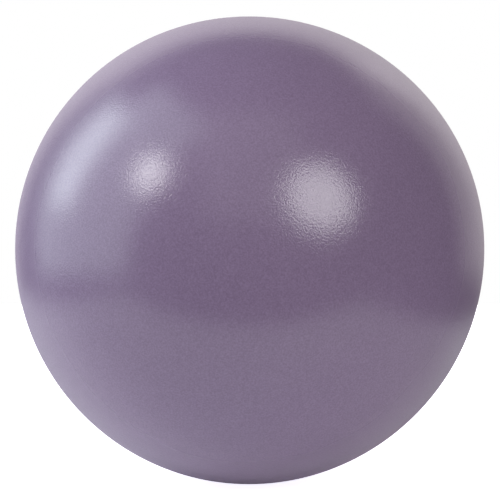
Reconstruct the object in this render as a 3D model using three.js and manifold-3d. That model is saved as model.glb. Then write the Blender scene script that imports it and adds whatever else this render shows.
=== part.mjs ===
// Soft exercise ball: a hollow moulded vinyl skin, the valve seat fused into its wall,
// and the push-in plug that keeps the air in.
// Millimetres, +Z up. The origin is the centre of the small flat patch that the ball
// rests on. The valve faces +Y, at the height of the ball's centre.

import * as THREE from 'three';
import { mergeVertices } from 'three/addons/utils/BufferGeometryUtils.js';
import Module from 'manifold-3d';

const wasm = await Module();
wasm.setup();

// The skin
const BALL_RADIUS = 125;
const WALL = 0.8;
const PATCH_RADIUS = 14; // the flat that the ball's own weight presses on the floor
const PATCH_DROP = 1; // how much nearer to the floor that flat brings the centre
const PATCH_BEND = THREE.MathUtils.degToRad(15); // from straight down to where the sphere starts
const CENTRE_HEIGHT = BALL_RADIUS - PATCH_DROP;
const SKIN_SEGMENTS = 60;
const SKIN_ARC_STEPS = 7; // half the steps from the patch to the equator, and on to the top

// The valve seat, with its depths measured inwards from the ball's surface
const SEAT_FACE_RADIUS = 6.5;
const SEAT_FACE_DEPTH = 0.15;
const SEAT_FLANGE_RADIUS = 11;
const SEAT_FLANGE_EDGE = 1.1;
const SEAT_NECK_RADIUS = 4.6;
const SEAT_NECK_TIP_RADIUS = 4.2;
const SEAT_NECK_TOP = 4.2;
const SEAT_DEPTH = 14;
const BORE_RADIUS = 2.3;
const RECESS_RADIUS = 5.1;
const RECESS_DEPTH = 1.35;
const EDGE_ROUND = 0.4;
const HOLE_GAP = 0.3; // between the seat's face and the skin around it
const FLANGE_GAP = 0.6; // between the flange and the sphere of the skin's inner side
const CUTTER_LENGTH = 20; // of the round cutter that opens the skin for the seat

// The plug
const HEAD_RADIUS = 4.5;
const HEAD_CROWN_DEPTH = 0.05;
const HEAD_EDGE_DEPTH = 0.5;
const HEAD_SHOULDER = 0.9; // where the crown's curve bends down, as a share of the head's radius
const HEAD_UNDERSIDE = 1.2;
const STEM_RADIUS = 2.05;
const STEM_TIP_RADIUS = 1.7;
const STEM_END = 15.5;
const RIB_DEPTHS = [4.5, 7.5, 10.5];
const RIB_HEIGHT = 0.15;
const RIB_HALF_WIDTH = 0.5;

const VALVE_SEGMENTS = 32;
const VALVE_CURVE_STEPS = 3;

// A closed mesh as a solid, without the flat triangles that a lathe leaves at its poles.
function toSolid(geometry) {
  const bare = geometry.clone();
  bare.deleteAttribute('normal');
  bare.deleteAttribute('uv');
  const merged = mergeVertices(bare);
  const corners = merged.index.array;
  const triangles = [];
  for (let i = 0; i < corners.length; i += 3) {
    const [a, b, c] = corners.slice(i, i + 3);
    if (a !== b && b !== c && c !== a) {
      triangles.push(a, b, c);
    }
  }
  return new wasm.Manifold(new wasm.Mesh({
    numProp: 3,
    vertProperties: merged.attributes.position.array,
    triVerts: new Uint32Array(triangles),
  }));
}

function toGeometry(solid) {
  const mesh = solid.getMesh();
  const geometry = new THREE.BufferGeometry();
  geometry.setAttribute('position', new THREE.BufferAttribute(mesh.vertProperties, 3));
  geometry.setIndex(new THREE.BufferAttribute(mesh.triVerts, 1));
  geometry.computeVertexNormals();
  return geometry;
}

// Half the ball's outline at a radius, from the middle of its flat patch up to its top.
// The patch runs into the sphere through one curve that is tangent to both.
function ballOutline(radius, floor) {
  const bendX = radius * Math.sin(PATCH_BEND);
  const bendZ = CENTRE_HEIGHT - radius * Math.cos(PATCH_BEND);
  const cornerX = bendX - (bendZ - floor) / Math.tan(PATCH_BEND);
  const outline = new THREE.Path();
  outline.moveTo(0, floor);
  outline.lineTo(PATCH_RADIUS, floor);
  outline.quadraticCurveTo(cornerX, floor, bendX, bendZ);
  outline.absarc(0, CENTRE_HEIGHT, radius, PATCH_BEND - Math.PI / 2, 0);
  outline.absarc(0, CENTRE_HEIGHT, radius, 0, Math.PI / 2);
  const points = outline.getPoints(SKIN_ARC_STEPS);
  points.at(-1).x = 0;
  return points;
}

function ballForm(radius, floor) {
  const form = new THREE.LatheGeometry(ballOutline(radius, floor), SKIN_SEGMENTS);
  form.rotateX(Math.PI / 2);
  return toSolid(form);
}

// The skin is one wall of even thickness, open only where the valve seat comes through it.
function ballShell() {
  const holeRadius = SEAT_FACE_RADIUS + HOLE_GAP;
  const cutter = new THREE.CylinderGeometry(holeRadius, holeRadius, CUTTER_LENGTH, VALVE_SEGMENTS);
  cutter.translate(0, BALL_RADIUS, CENTRE_HEIGHT);
  const wall = ballForm(BALL_RADIUS, 0).subtract(ballForm(BALL_RADIUS - WALL, WALL));
  return toGeometry(wall.subtract(toSolid(cutter)));
}

// A ring of soft vinyl: its face fills the hole in the skin and is dished for the plug's
// head, its flange lies under the skin, and its neck carries the bore inwards.
function valveSeat() {
  const underSkin = BALL_RADIUS - WALL - FLANGE_GAP;
  const flangeAngle = Math.acos(SEAT_FLANGE_RADIUS / underSkin);
  const faceAngle = Math.acos(SEAT_FACE_RADIUS / underSkin);
  const flangeTop = underSkin * Math.sin(flangeAngle) - BALL_RADIUS;
  const outline = new THREE.Path();
  outline.moveTo(BORE_RADIUS, -SEAT_DEPTH);
  outline.lineTo(SEAT_NECK_TIP_RADIUS - EDGE_ROUND, -SEAT_DEPTH);
  outline.quadraticCurveTo(
    SEAT_NECK_TIP_RADIUS, -SEAT_DEPTH, SEAT_NECK_TIP_RADIUS, EDGE_ROUND - SEAT_DEPTH);
  outline.lineTo(SEAT_NECK_RADIUS, -SEAT_NECK_TOP);
  outline.lineTo(SEAT_FLANGE_RADIUS, flangeTop - SEAT_FLANGE_EDGE);
  outline.lineTo(SEAT_FLANGE_RADIUS, flangeTop);
  outline.absarc(0, -BALL_RADIUS, underSkin, flangeAngle, faceAngle);
  outline.lineTo(SEAT_FACE_RADIUS, -SEAT_FACE_DEPTH - EDGE_ROUND);
  outline.quadraticCurveTo(
    SEAT_FACE_RADIUS, -SEAT_FACE_DEPTH, SEAT_FACE_RADIUS - EDGE_ROUND, -SEAT_FACE_DEPTH);
  outline.lineTo(RECESS_RADIUS + EDGE_ROUND, -SEAT_FACE_DEPTH);
  outline.quadraticCurveTo(
    RECESS_RADIUS, -SEAT_FACE_DEPTH, RECESS_RADIUS, -SEAT_FACE_DEPTH - EDGE_ROUND);
  outline.lineTo(RECESS_RADIUS, -RECESS_DEPTH);
  outline.lineTo(BORE_RADIUS + EDGE_ROUND, -RECESS_DEPTH);
  outline.lineTo(BORE_RADIUS, -RECESS_DEPTH - EDGE_ROUND);
  outline.lineTo(BORE_RADIUS, -SEAT_DEPTH);
  return new THREE.LatheGeometry(outline.getPoints(VALVE_CURVE_STEPS), VALVE_SEGMENTS);
}

// A stiff stopper: a low domed head on a stem that tapers to a round tip, with three ribs
// that grip the bore.
function valvePlug() {
  const stemTop = -HEAD_UNDERSIDE;
  const tipTop = STEM_TIP_RADIUS - STEM_END;
  const taper = (STEM_RADIUS - STEM_TIP_RADIUS) / (stemTop - tipTop);
  const stemRadius = (height) => STEM_TIP_RADIUS + taper * (height - tipTop);
  const outline = new THREE.Path();
  outline.absarc(0, tipTop, STEM_TIP_RADIUS, -Math.PI / 2, 0);
  for (const depth of RIB_DEPTHS.toReversed()) {
    outline.lineTo(stemRadius(-depth - RIB_HALF_WIDTH), -depth - RIB_HALF_WIDTH);
    outline.lineTo(stemRadius(-depth) + RIB_HEIGHT, -depth);
    outline.lineTo(stemRadius(-depth + RIB_HALF_WIDTH), -depth + RIB_HALF_WIDTH);
  }
  outline.lineTo(STEM_RADIUS, stemTop);
  outline.lineTo(HEAD_RADIUS, stemTop);
  outline.lineTo(HEAD_RADIUS, -HEAD_EDGE_DEPTH);
  outline.quadraticCurveTo(
    HEAD_RADIUS * HEAD_SHOULDER, -HEAD_CROWN_DEPTH, 0, -HEAD_CROWN_DEPTH);
  const points = outline.getPoints(VALVE_CURVE_STEPS);
  points[0].x = 0;
  return new THREE.LatheGeometry(points, VALVE_SEGMENTS);
}

function addPart(name, geometry, colour, roughness) {
  const material = new THREE.MeshStandardMaterial({ color: colour, roughness, metalness: 0 });
  const mesh = new THREE.Mesh(geometry, material);
  mesh.name = name;
  return mesh;
}

const valve = new THREE.Group();
valve.add(
  addPart('valve_seat', valveSeat(), 0x84758d, 0.5),
  addPart('valve_plug', valvePlug(), 0xe6e3df, 0.4),
);
valve.position.set(0, BALL_RADIUS, CENTRE_HEIGHT);

const ball = new THREE.Group();
ball.add(addPart('ball_shell', ballShell(), 0x8d7d97, 0.42), valve);

export default ball;
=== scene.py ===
import math

import bmesh
import bpy
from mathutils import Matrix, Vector


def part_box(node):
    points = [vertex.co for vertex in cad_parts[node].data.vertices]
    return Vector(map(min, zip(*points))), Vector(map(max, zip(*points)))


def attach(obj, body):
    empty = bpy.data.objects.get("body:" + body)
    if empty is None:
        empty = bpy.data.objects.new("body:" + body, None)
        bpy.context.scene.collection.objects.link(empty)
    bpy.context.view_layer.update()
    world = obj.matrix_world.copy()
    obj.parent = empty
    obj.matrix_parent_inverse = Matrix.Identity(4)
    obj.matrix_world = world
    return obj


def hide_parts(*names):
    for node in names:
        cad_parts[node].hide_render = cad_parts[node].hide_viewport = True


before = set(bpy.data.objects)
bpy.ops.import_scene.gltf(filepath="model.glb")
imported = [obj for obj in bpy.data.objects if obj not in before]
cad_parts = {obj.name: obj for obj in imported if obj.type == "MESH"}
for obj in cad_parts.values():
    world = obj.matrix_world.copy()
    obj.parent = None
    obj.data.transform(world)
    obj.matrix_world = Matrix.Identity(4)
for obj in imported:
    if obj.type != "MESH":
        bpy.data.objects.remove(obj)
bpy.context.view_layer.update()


# Skin of the ball. One hollow skin of soft vinyl, 0.8 mm thick, cast in a closed two-half
# mould whose inside is finely etched: the etching leaves the grain all over, and the
# joint between the halves leaves a faint line. A smooth disc surrounds the valve.
skin_low, skin_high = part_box("ball_shell")
ball_radius = (skin_high.x - skin_low.x) / 2
ball_centre = Vector((0, 0, skin_high.z - ball_radius))
weight_flat = ball_radius - ball_centre.z
skin_wall = 0.0008
valve_hole_radius = 0.00675
hole_rim_round = 0.0003
skin_lobes = ((2, 0.0002, 0), (3, 0.0002, 20))  # waves round the ball, height, degrees
parting_line_height = 0.00008
parting_line_width = 0.0004
valve_disc_radius = 0.0125
valve_disc_height = 0.0002
valve_disc_edge = 0.0012
outline_points = 360
turn_steps = 200


def pick(piece, wanted, kind="VERT"):
    """Selects the points, edges or faces of a piece whose middle is wanted, and no others."""
    if piece.mode != "EDIT":
        bpy.ops.object.mode_set(mode="EDIT")
    bpy.ops.mesh.select_mode(type=kind)
    bpy.ops.mesh.select_all(action="DESELECT")
    shape = bmesh.from_edit_mesh(piece.data)
    if kind == "VERT":
        for point in shape.verts:
            point.select_set(wanted(point.co))
    elif kind == "EDGE":
        for edge in shape.edges:
            edge.select_set(wanted((edge.verts[0].co + edge.verts[1].co) / 2))
    else:
        for face in shape.faces:
            face.select_set(wanted(face.calc_center_median()))
    shape.select_flush_mode()
    bmesh.update_edit_mesh(piece.data)


def off_axis(point):
    """How far a point is from the valve's axis."""
    return math.hypot(point.x, point.z - ball_centre.z)


def soft_step(distance, edge, width):
    """1 inside an edge and 0 outside it, with a smooth slope of that width between."""
    share = min(max((edge + width / 2 - distance) / width, 0), 1)
    return share * share * (3 - 2 * share)


def skin_height(direction):
    """How far the skin stands out from the true sphere, seen from the ball's centre."""
    round_axis = math.atan2(direction.z, direction.x)
    flatness = 1 - direction.y ** 2
    lobes = sum(
        height * math.cos(count * (round_axis - math.radians(peak)))
        for count, height, peak in skin_lobes
    )
    across_line = direction.y * ball_radius / parting_line_width
    line = parting_line_height * math.exp(-(across_line ** 2))
    from_valve = math.hypot(direction.x, direction.z) * ball_radius
    disc = 0
    if direction.y > 0:
        disc = valve_disc_height * soft_step(from_valve, valve_disc_radius, valve_disc_edge)
    return lobes * flatness + line + disc


bpy.ops.object.select_all(action="DESELECT")
bpy.ops.mesh.primitive_circle_add(
    vertices=outline_points, radius=ball_radius, location=ball_centre)
ball_skin = bpy.context.active_object
ball_skin.name = "ball_skin"
bpy.ops.object.transform_apply()
pick(ball_skin, lambda p: p.x < -1e-5)
bpy.ops.mesh.delete(type="VERT")
pick(ball_skin, lambda p: p.y > 0 and off_axis(p) < valve_hole_radius)
bpy.ops.mesh.delete(type="VERT")
pick(ball_skin, lambda p: p.y > 0 and off_axis(p) < valve_disc_radius * 1.4, "EDGE")
bpy.ops.mesh.subdivide(number_cuts=4)
pick(ball_skin, lambda p: abs(p.y) < 3 * parting_line_width, "EDGE")
bpy.ops.mesh.subdivide(number_cuts=9)
bpy.ops.mesh.select_all(action="SELECT")
bpy.ops.mesh.spin(steps=turn_steps, angle=math.tau, center=ball_centre, axis=(0, 1, 0))
bpy.ops.mesh.select_all(action="SELECT")
bpy.ops.mesh.remove_doubles(threshold=1e-5)
bpy.ops.mesh.normals_make_consistent(inside=False)
bpy.ops.object.mode_set(mode="OBJECT")
rim_y = max(v.co.y for v in ball_skin.data.vertices)
for vertex in ball_skin.data.vertices:
    from_centre = vertex.co - ball_centre
    if vertex.co.y > rim_y - 1e-6:
        from_centre *= valve_hole_radius / off_axis(vertex.co)
        from_centre.y = vertex.co.y
    direction = from_centre.normalized()
    vertex.co = ball_centre + direction * (ball_radius + skin_height(direction))
    if vertex.co.z < weight_flat:
        vertex.co.z = (vertex.co.z + weight_flat) ** 2 / (4 * weight_flat)
wall = ball_skin.modifiers.new("wall", "SOLIDIFY")
wall.thickness = skin_wall
wall.offset = -1
bpy.ops.object.modifier_apply(modifier=wall.name)
pick(
    ball_skin,
    lambda p: p.y > rim_y - skin_wall / 3 and off_axis(p) < valve_hole_radius + 1e-4,
    "EDGE",
)
bpy.ops.mesh.bevel(offset=hole_rim_round, segments=3)
bpy.ops.object.mode_set(mode="OBJECT")
bpy.ops.object.shade_smooth_by_angle(angle=math.radians(40))


def new_finish(name):
    """A node material with its shader and its links, ready for a finish."""
    finish = bpy.data.materials.new(name)
    finish.use_nodes = True
    tree = finish.node_tree
    return finish, tree, tree.nodes["Principled BSDF"]


def add_node(tree, kind, **settings):
    """A node of a kind, with its settings and the values of its sockets."""
    node = tree.nodes.new(kind)
    for key, value in settings.items():
        if key in node.inputs:
            node.inputs[key].default_value = value
        else:
            setattr(node, key, value)
    return node


def mix_colours(tree, share, first, second):
    """A colour that goes from first to second with a share, which is a link."""
    node = add_node(tree, "ShaderNodeMix", data_type="RGBA")
    node.inputs[6].default_value = (*first, 1)
    node.inputs[7].default_value = (*second, 1)
    tree.links.new(share, node.inputs[0])
    return node.outputs[2]


skin_colour = (0.247, 0.178, 0.282)
skin_colour_deep = (0.187, 0.132, 0.218)
skin_finish, tree, shader = new_finish("satin_mauve_vinyl")
place = add_node(tree, "ShaderNodeTexCoord").outputs["Object"]
clouds = add_node(tree, "ShaderNodeTexNoise", Scale=11.0, Detail=3.0, Roughness=0.6)
grain = add_node(tree, "ShaderNodeTexNoise", Scale=1200.0, Detail=2.0, Roughness=0.4)
from_valve = add_node(tree, "ShaderNodeVectorMath", operation="DISTANCE")
from_valve.inputs[1].default_value = ball_centre + Vector((0, ball_radius, 0))
for texture in (clouds, grain, from_valve):
    tree.links.new(place, texture.inputs[0])
grained = add_node(
    tree, "ShaderNodeMapRange",
    **{"From Min": valve_disc_radius - valve_disc_edge / 2,
       "From Max": valve_disc_radius + valve_disc_edge / 2,
       "To Max": 0.8})
tree.links.new(from_valve.outputs["Value"], grained.inputs["Value"])
mottle = add_node(tree, "ShaderNodeMix")
tree.links.new(grained.outputs[0], mottle.inputs[0])
tree.links.new(clouds.outputs[0], mottle.inputs[2])
tree.links.new(grain.outputs[0], mottle.inputs[3])
mottle_share = add_node(
    tree, "ShaderNodeMapRange", **{"From Min": 0.33, "From Max": 0.67})
tree.links.new(mottle.outputs[0], mottle_share.inputs["Value"])
tree.links.new(
    mix_colours(tree, mottle_share.outputs[0], skin_colour_deep, skin_colour),
    shader.inputs["Base Color"])
gloss = add_node(
    tree, "ShaderNodeMapRange",
    **{"From Min": 0.3, "From Max": 0.7, "To Min": 0.145, "To Max": 0.175})
tree.links.new(clouds.outputs[0], gloss.inputs["Value"])
slant = add_node(tree, "ShaderNodeLayerWeight", Blend=0.5)
slant_haze = add_node(
    tree, "ShaderNodeMapRange",
    **{"From Min": 0.35, "From Max": 1.0, "To Min": 0.0, "To Max": 0.32})
tree.links.new(slant.outputs["Facing"], slant_haze.inputs["Value"])
roughness = add_node(tree, "ShaderNodeMath", operation="ADD")
tree.links.new(gloss.outputs[0], roughness.inputs[0])
tree.links.new(slant_haze.outputs[0], roughness.inputs[1])
tree.links.new(roughness.outputs[0], shader.inputs["Roughness"])
relief = add_node(tree, "ShaderNodeBump", Distance=0.00014)
tree.links.new(grained.outputs[0], relief.inputs["Strength"])
tree.links.new(grain.outputs[0], relief.inputs["Height"])
tree.links.new(relief.outputs[0], shader.inputs["Normal"])
shader.inputs["Specular IOR Level"].default_value = 0.5
ball_skin.data.materials.clear()
ball_skin.data.materials.append(skin_finish)
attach(ball_skin, "ball")
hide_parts("ball_shell")


# Valve seat. One moulding of the same soft vinyl as the skin, smooth where the skin is
# grained. Its flange is fused to the back of the skin round the hole, and its neck hangs
# inside the ball and grips the plug. Steps are (radius, depth under the ball's outside).
valve_top = ball_centre + Vector((0, ball_radius, 0))
valve_sides = 72
seat_low, seat_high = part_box("valve_seat")
seat_tip = valve_top.y - seat_low.y
flange_radius = (seat_high.x - seat_low.x) / 2
seat_face_radius = valve_hole_radius - 0.00005
bore_radius = 0.0023
bore_chamfer = 0.0003
recess_radius, recess_depth = 0.0051, 0.00135
seat_face_depth = 0.00015
groove_start, groove_end = recess_radius + 0.0005, recess_radius + 0.001
groove_slope, groove_depth = 0.00015, 0.00015
flange_bend_radius, flange_thickness = 0.0088, 0.0011
neck_root = (0.0062, 0.0028)
neck_fillet = (0.0049, 0.0033)
neck_top = (0.0046, 0.0042)
neck_tip_radius = 0.0042
flange_sphere = ball_radius + valve_disc_height - skin_wall - 0.0001


def flange_depth(radius):
    """How deep the flange's outer face lies, following the inside of the skin."""
    return ball_radius - math.sqrt(flange_sphere ** 2 - radius ** 2)


def turn_piece(name, steps, edge_round, ring_shut):
    """A round piece about the valve's axis, drawn out ring by ring. Its last ring meets the
    first if it is shut, and otherwise both ends are closed by a face."""
    radius, depth = steps[0]
    bpy.ops.object.select_all(action="DESELECT")
    bpy.ops.mesh.primitive_circle_add(
        vertices=valve_sides, radius=radius, fill_type="NOTHING" if ring_shut else "NGON",
        location=valve_top - Vector((0, depth, 0)), rotation=(math.pi / 2, 0, 0))
    piece = bpy.context.active_object
    piece.name = name
    bpy.ops.object.transform_apply()
    bpy.ops.object.mode_set(mode="EDIT")
    bpy.ops.mesh.select_mode(type="EDGE")
    bpy.ops.mesh.select_all(action="SELECT")
    for next_radius, next_depth in steps[1:]:
        bpy.ops.mesh.extrude_edges_move(
            TRANSFORM_OT_translate={"value": (0, depth - next_depth, 0)})
        spread = next_radius / radius
        bpy.ops.transform.resize(value=(spread, 1, spread), center_override=valve_top)
        radius, depth = next_radius, next_depth
    if not ring_shut:
        bpy.ops.mesh.edge_face_add()
    bpy.ops.mesh.select_all(action="SELECT")
    bpy.ops.mesh.remove_doubles(threshold=1e-6)
    bpy.ops.mesh.normals_make_consistent(inside=False)
    bpy.ops.object.mode_set(mode="OBJECT")
    rounding = piece.modifiers.new("rounding", "BEVEL")
    rounding.width = edge_round
    rounding.segments = 3
    rounding.limit_method = "ANGLE"
    rounding.angle_limit = math.radians(28)
    bpy.ops.object.modifier_apply(modifier=rounding.name)
    bpy.ops.object.shade_smooth_by_angle(angle=math.radians(35))
    return piece


seat_steps = [
    (bore_radius, seat_tip),
    (bore_radius, recess_depth + bore_chamfer),
    (bore_radius + bore_chamfer, recess_depth),
    (recess_radius, recess_depth),
    (recess_radius, seat_face_depth),
    (groove_start, seat_face_depth),
    (groove_start + groove_slope, seat_face_depth + groove_depth),
    (groove_end - groove_slope, seat_face_depth + groove_depth),
    (groove_end, seat_face_depth),
    (seat_face_radius, seat_face_depth),
    (seat_face_radius, flange_depth(seat_face_radius)),
    ((seat_face_radius + flange_radius) / 2, flange_depth(flange_bend_radius)),
    (flange_radius, flange_depth(flange_radius)),
    (flange_radius, flange_depth(flange_radius) + flange_thickness),
    neck_root,
    neck_fillet,
    neck_top,
    (neck_tip_radius, seat_tip),
    (bore_radius, seat_tip),
]
seat_moulding = turn_piece("seat_moulding", seat_steps, 0.00012, True)

seat_colour = (0.21, 0.15, 0.242)
seat_colour_deep = (0.19, 0.135, 0.222)
seat_finish, tree, shader = new_finish("smooth_mauve_vinyl")
place = add_node(tree, "ShaderNodeTexCoord").outputs["Object"]
haze = add_node(tree, "ShaderNodeTexNoise", Scale=420.0, Detail=3.0, Roughness=0.6)
ripple = add_node(tree, "ShaderNodeTexNoise", Scale=1600.0, Detail=1.0, Roughness=0.5)
for texture in (haze, ripple):
    tree.links.new(place, texture.inputs[0])
tree.links.new(
    mix_colours(tree, haze.outputs[0], seat_colour_deep, seat_colour),
    shader.inputs["Base Color"])
gloss = add_node(tree, "ShaderNodeMapRange", **{"To Min": 0.22, "To Max": 0.34})
tree.links.new(haze.outputs[0], gloss.inputs["Value"])
tree.links.new(gloss.outputs[0], shader.inputs["Roughness"])
relief = add_node(tree, "ShaderNodeBump", Strength=0.5, Distance=0.00004)
tree.links.new(ripple.outputs[0], relief.inputs["Height"])
tree.links.new(relief.outputs[0], shader.inputs["Normal"])
seat_moulding.data.materials.clear()
seat_moulding.data.materials.append(seat_finish)
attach(seat_moulding, "ball")
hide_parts("valve_seat")


# Valve plug. One hard moulding of off-white polyethylene: a thin round head that lies in
# the seat's recess, with the dimple of the mould's gate in its middle, and a tapered stem
# with three ribs that the soft bore grips.
plug_low, plug_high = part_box("valve_plug")
head_radius = (plug_high.x - plug_low.x) / 2
crown_depth = valve_top.y - plug_high.y
stem_tip = valve_top.y - plug_low.y
head_underside = 0.0012
head_side = 0.00075
head_shoulder = (head_radius - 0.0003, 0.00042)
head_dome = ((0.75, 0.00018), (0.5, 0.00007), (0.25, 0))  # share of radius, drop
stem_radius, stem_tip_radius = 0.00205, 0.0017
stem_fillet_width, stem_fillet_height = 0.0005, 0.0006
tip_flat_radius, tip_round = 0.0011, 0.0006
rib_depths = (0.0105, 0.0075, 0.0045)
rib_height, rib_half_width = 0.00015, 0.0005
gate_radius, gate_floor_radius, gate_depth = 0.00055, 0.00044, 0.00012


def stem_radius_at(depth):
    """The tapered stem's radius at a depth."""
    share = (depth - head_underside) / (stem_tip - head_underside)
    return stem_radius + (stem_tip_radius - stem_radius) * share


plug_steps = [
    (tip_flat_radius, stem_tip),
    (stem_radius_at(stem_tip - tip_round), stem_tip - tip_round),
]
for rib_depth in rib_depths:
    plug_steps += [
        (stem_radius_at(rib_depth + rib_half_width), rib_depth + rib_half_width),
        (stem_radius_at(rib_depth) + rib_height, rib_depth),
        (stem_radius_at(rib_depth - rib_half_width), rib_depth - rib_half_width),
    ]
plug_steps += [
    (stem_radius, head_underside + stem_fillet_height),
    (stem_radius + stem_fillet_width, head_underside),
    (head_radius, head_underside),
    (head_radius, head_side),
    head_shoulder,
]
for share, drop in head_dome:
    plug_steps.append((head_radius * share, crown_depth + drop))
plug_steps += [
    (gate_radius, crown_depth),
    (gate_floor_radius, crown_depth + gate_depth),
]
plug_moulding = turn_piece("plug_moulding", plug_steps, 0.0001, False)

plug_colour = (0.7, 0.685, 0.655)
plug_colour_deep = (0.65, 0.63, 0.595)
plug_finish, tree, shader = new_finish("off_white_polyethylene")
place = add_node(tree, "ShaderNodeTexCoord").outputs["Object"]
flow = add_node(tree, "ShaderNodeTexNoise", Scale=260.0, Detail=4.0, Roughness=0.55)
scuff = add_node(tree, "ShaderNodeTexNoise", Scale=2200.0, Detail=2.0, Roughness=0.6)
for texture in (flow, scuff):
    tree.links.new(place, texture.inputs[0])
tree.links.new(
    mix_colours(tree, flow.outputs[0], plug_colour_deep, plug_colour),
    shader.inputs["Base Color"])
gloss = add_node(tree, "ShaderNodeMapRange", **{"To Min": 0.3, "To Max": 0.46})
tree.links.new(scuff.outputs[0], gloss.inputs["Value"])
tree.links.new(gloss.outputs[0], shader.inputs["Roughness"])
relief = add_node(tree, "ShaderNodeBump", Strength=0.4, Distance=0.00003)
tree.links.new(scuff.outputs[0], relief.inputs["Height"])
tree.links.new(relief.outputs[0], shader.inputs["Normal"])
plug_moulding.data.materials.clear()
plug_moulding.data.materials.append(plug_finish)
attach(plug_moulding, "plug")
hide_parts("valve_plug")


# Camera. Far back with a long lens, a little above the height of the ball's centre.
camera_distance = 1.2
camera_elevation = math.radians(4)
ball_share_of_frame = 0.9372
sensor_width = 36
sideways_shift = 0.0009
view_tangent = ball_radius / math.sqrt(camera_distance ** 2 - ball_radius ** 2)
bpy.ops.object.camera_add()
camera = bpy.context.active_object
camera.name = "camera"
to_camera = Vector((0, -math.cos(camera_elevation), math.sin(camera_elevation)))
camera.location = ball_centre + to_camera * camera_distance
camera.rotation_euler = (-to_camera).to_track_quat("-Z", "Y").to_euler()
camera.data.sensor_width = sensor_width
camera.data.lens = sensor_width / 2 * ball_share_of_frame / view_tangent
camera.data.shift_x = sideways_shift
bpy.context.scene.camera = camera


# Studio. A pale table, soft boxes and lit walls round the ball, and a dim room. Only the
# camera sees the table and the backdrop at full white; the ball gets less light from them.
table_left, table_right = -0.45, 0.315
table_front, table_back = -0.28, 1.0
table_drop = 0.0002
table_shine, table_shine_seen = 0.2, 1.0
bpy.ops.mesh.primitive_plane_add(size=1)
table = bpy.context.active_object
table.name = "table"
table.dimensions = (table_right - table_left, table_back - table_front, 0)
table.location = (
    (table_left + table_right) / 2, (table_front + table_back) / 2, -table_drop)
table_finish, tree, shader = new_finish("pale_table")
shader.inputs["Base Color"].default_value = (0.8, 0.8, 0.8, 1)
shader.inputs["Roughness"].default_value = 0.6
shader.inputs["Emission Color"].default_value = (0.92, 0.9, 1.0, 1)
ray = add_node(tree, "ShaderNodeLightPath")
shine = add_node(
    tree, "ShaderNodeMapRange", **{"To Min": table_shine, "To Max": table_shine_seen})
tree.links.new(ray.outputs["Is Camera Ray"], shine.inputs["Value"])
tree.links.new(shine.outputs[0], shader.inputs["Emission Strength"])
table.data.materials.append(table_finish)


def soft_box(name, azimuth, elevation, distance, width, height, brightness, colour):
    """A soft panel of light that faces the ball, round if it has no height. Azimuth 0 is
    the camera's side and 90 the ball's right; brightness is its radiance."""
    side, rise = math.radians(azimuth), math.radians(elevation)
    towards = Vector((
        math.sin(side) * math.cos(rise), -math.cos(side) * math.cos(rise), math.sin(rise)))
    bpy.ops.object.light_add(type="AREA", location=ball_centre + towards * distance)
    panel = bpy.context.active_object
    panel.name = name
    panel.rotation_euler = (-towards).to_track_quat("-Z", "Y").to_euler()
    panel.data.shape = "RECTANGLE" if height else "DISK"
    panel.data.size = width
    area = math.pi * width ** 2 / 4
    if height:
        panel.data.size_y = height
        area = width * height
    panel.data.energy = brightness * math.pi * area
    panel.data.color = colour
    panel.visible_camera = False
    return panel


white, cool, warm = (1.0, 1.0, 1.0), (0.85, 0.95, 1.0), (1.0, 0.95, 0.95)
soft_box("key_box", 35, 26, 1.2, 0.65, 0, 7, white)
soft_box("left_box", -54, 34, 1.2, 0.35, 0, 10, white)
soft_box("window", -105, 28, 1.5, 0.5, 0.9, 4, cool)
soft_box("left_wall", -90, 20, 1.8, 2.4, 2.0, 2, cool)
soft_box("left_ceiling", -75, 56, 1.6, 1.2, 0.5, 2, cool)
soft_box("back_wall", 180, 20, 1.9, 2.4, 2.0, 1.5, warm)
soft_box("right_wall", 135, 20, 1.9, 1.0, 2.0, 0.8, warm)
soft_box("front_fill", 0, 45, 1.9, 1.5, 2.0, 0.5, white)

world = bpy.data.worlds.new("studio")
bpy.context.scene.world = world
world.use_nodes = True
tree = world.node_tree
seen = tree.nodes["Background"]
seen.inputs["Color"].default_value = (1, 1, 1, 1)
room = add_node(tree, "ShaderNodeBackground", Color=(0.02, 0.02, 0.02, 1), Strength=1.0)
ray = add_node(tree, "ShaderNodeLightPath")
blend = add_node(tree, "ShaderNodeMixShader")
tree.links.new(ray.outputs["Is Camera Ray"], blend.inputs[0])
tree.links.new(room.outputs[0], blend.inputs[1])
tree.links.new(seen.outputs[0], blend.inputs[2])
tree.links.new(blend.outputs[0], tree.nodes["World Output"].inputs["Surface"])
bpy.context.scene.view_settings.view_transform = "Standard"
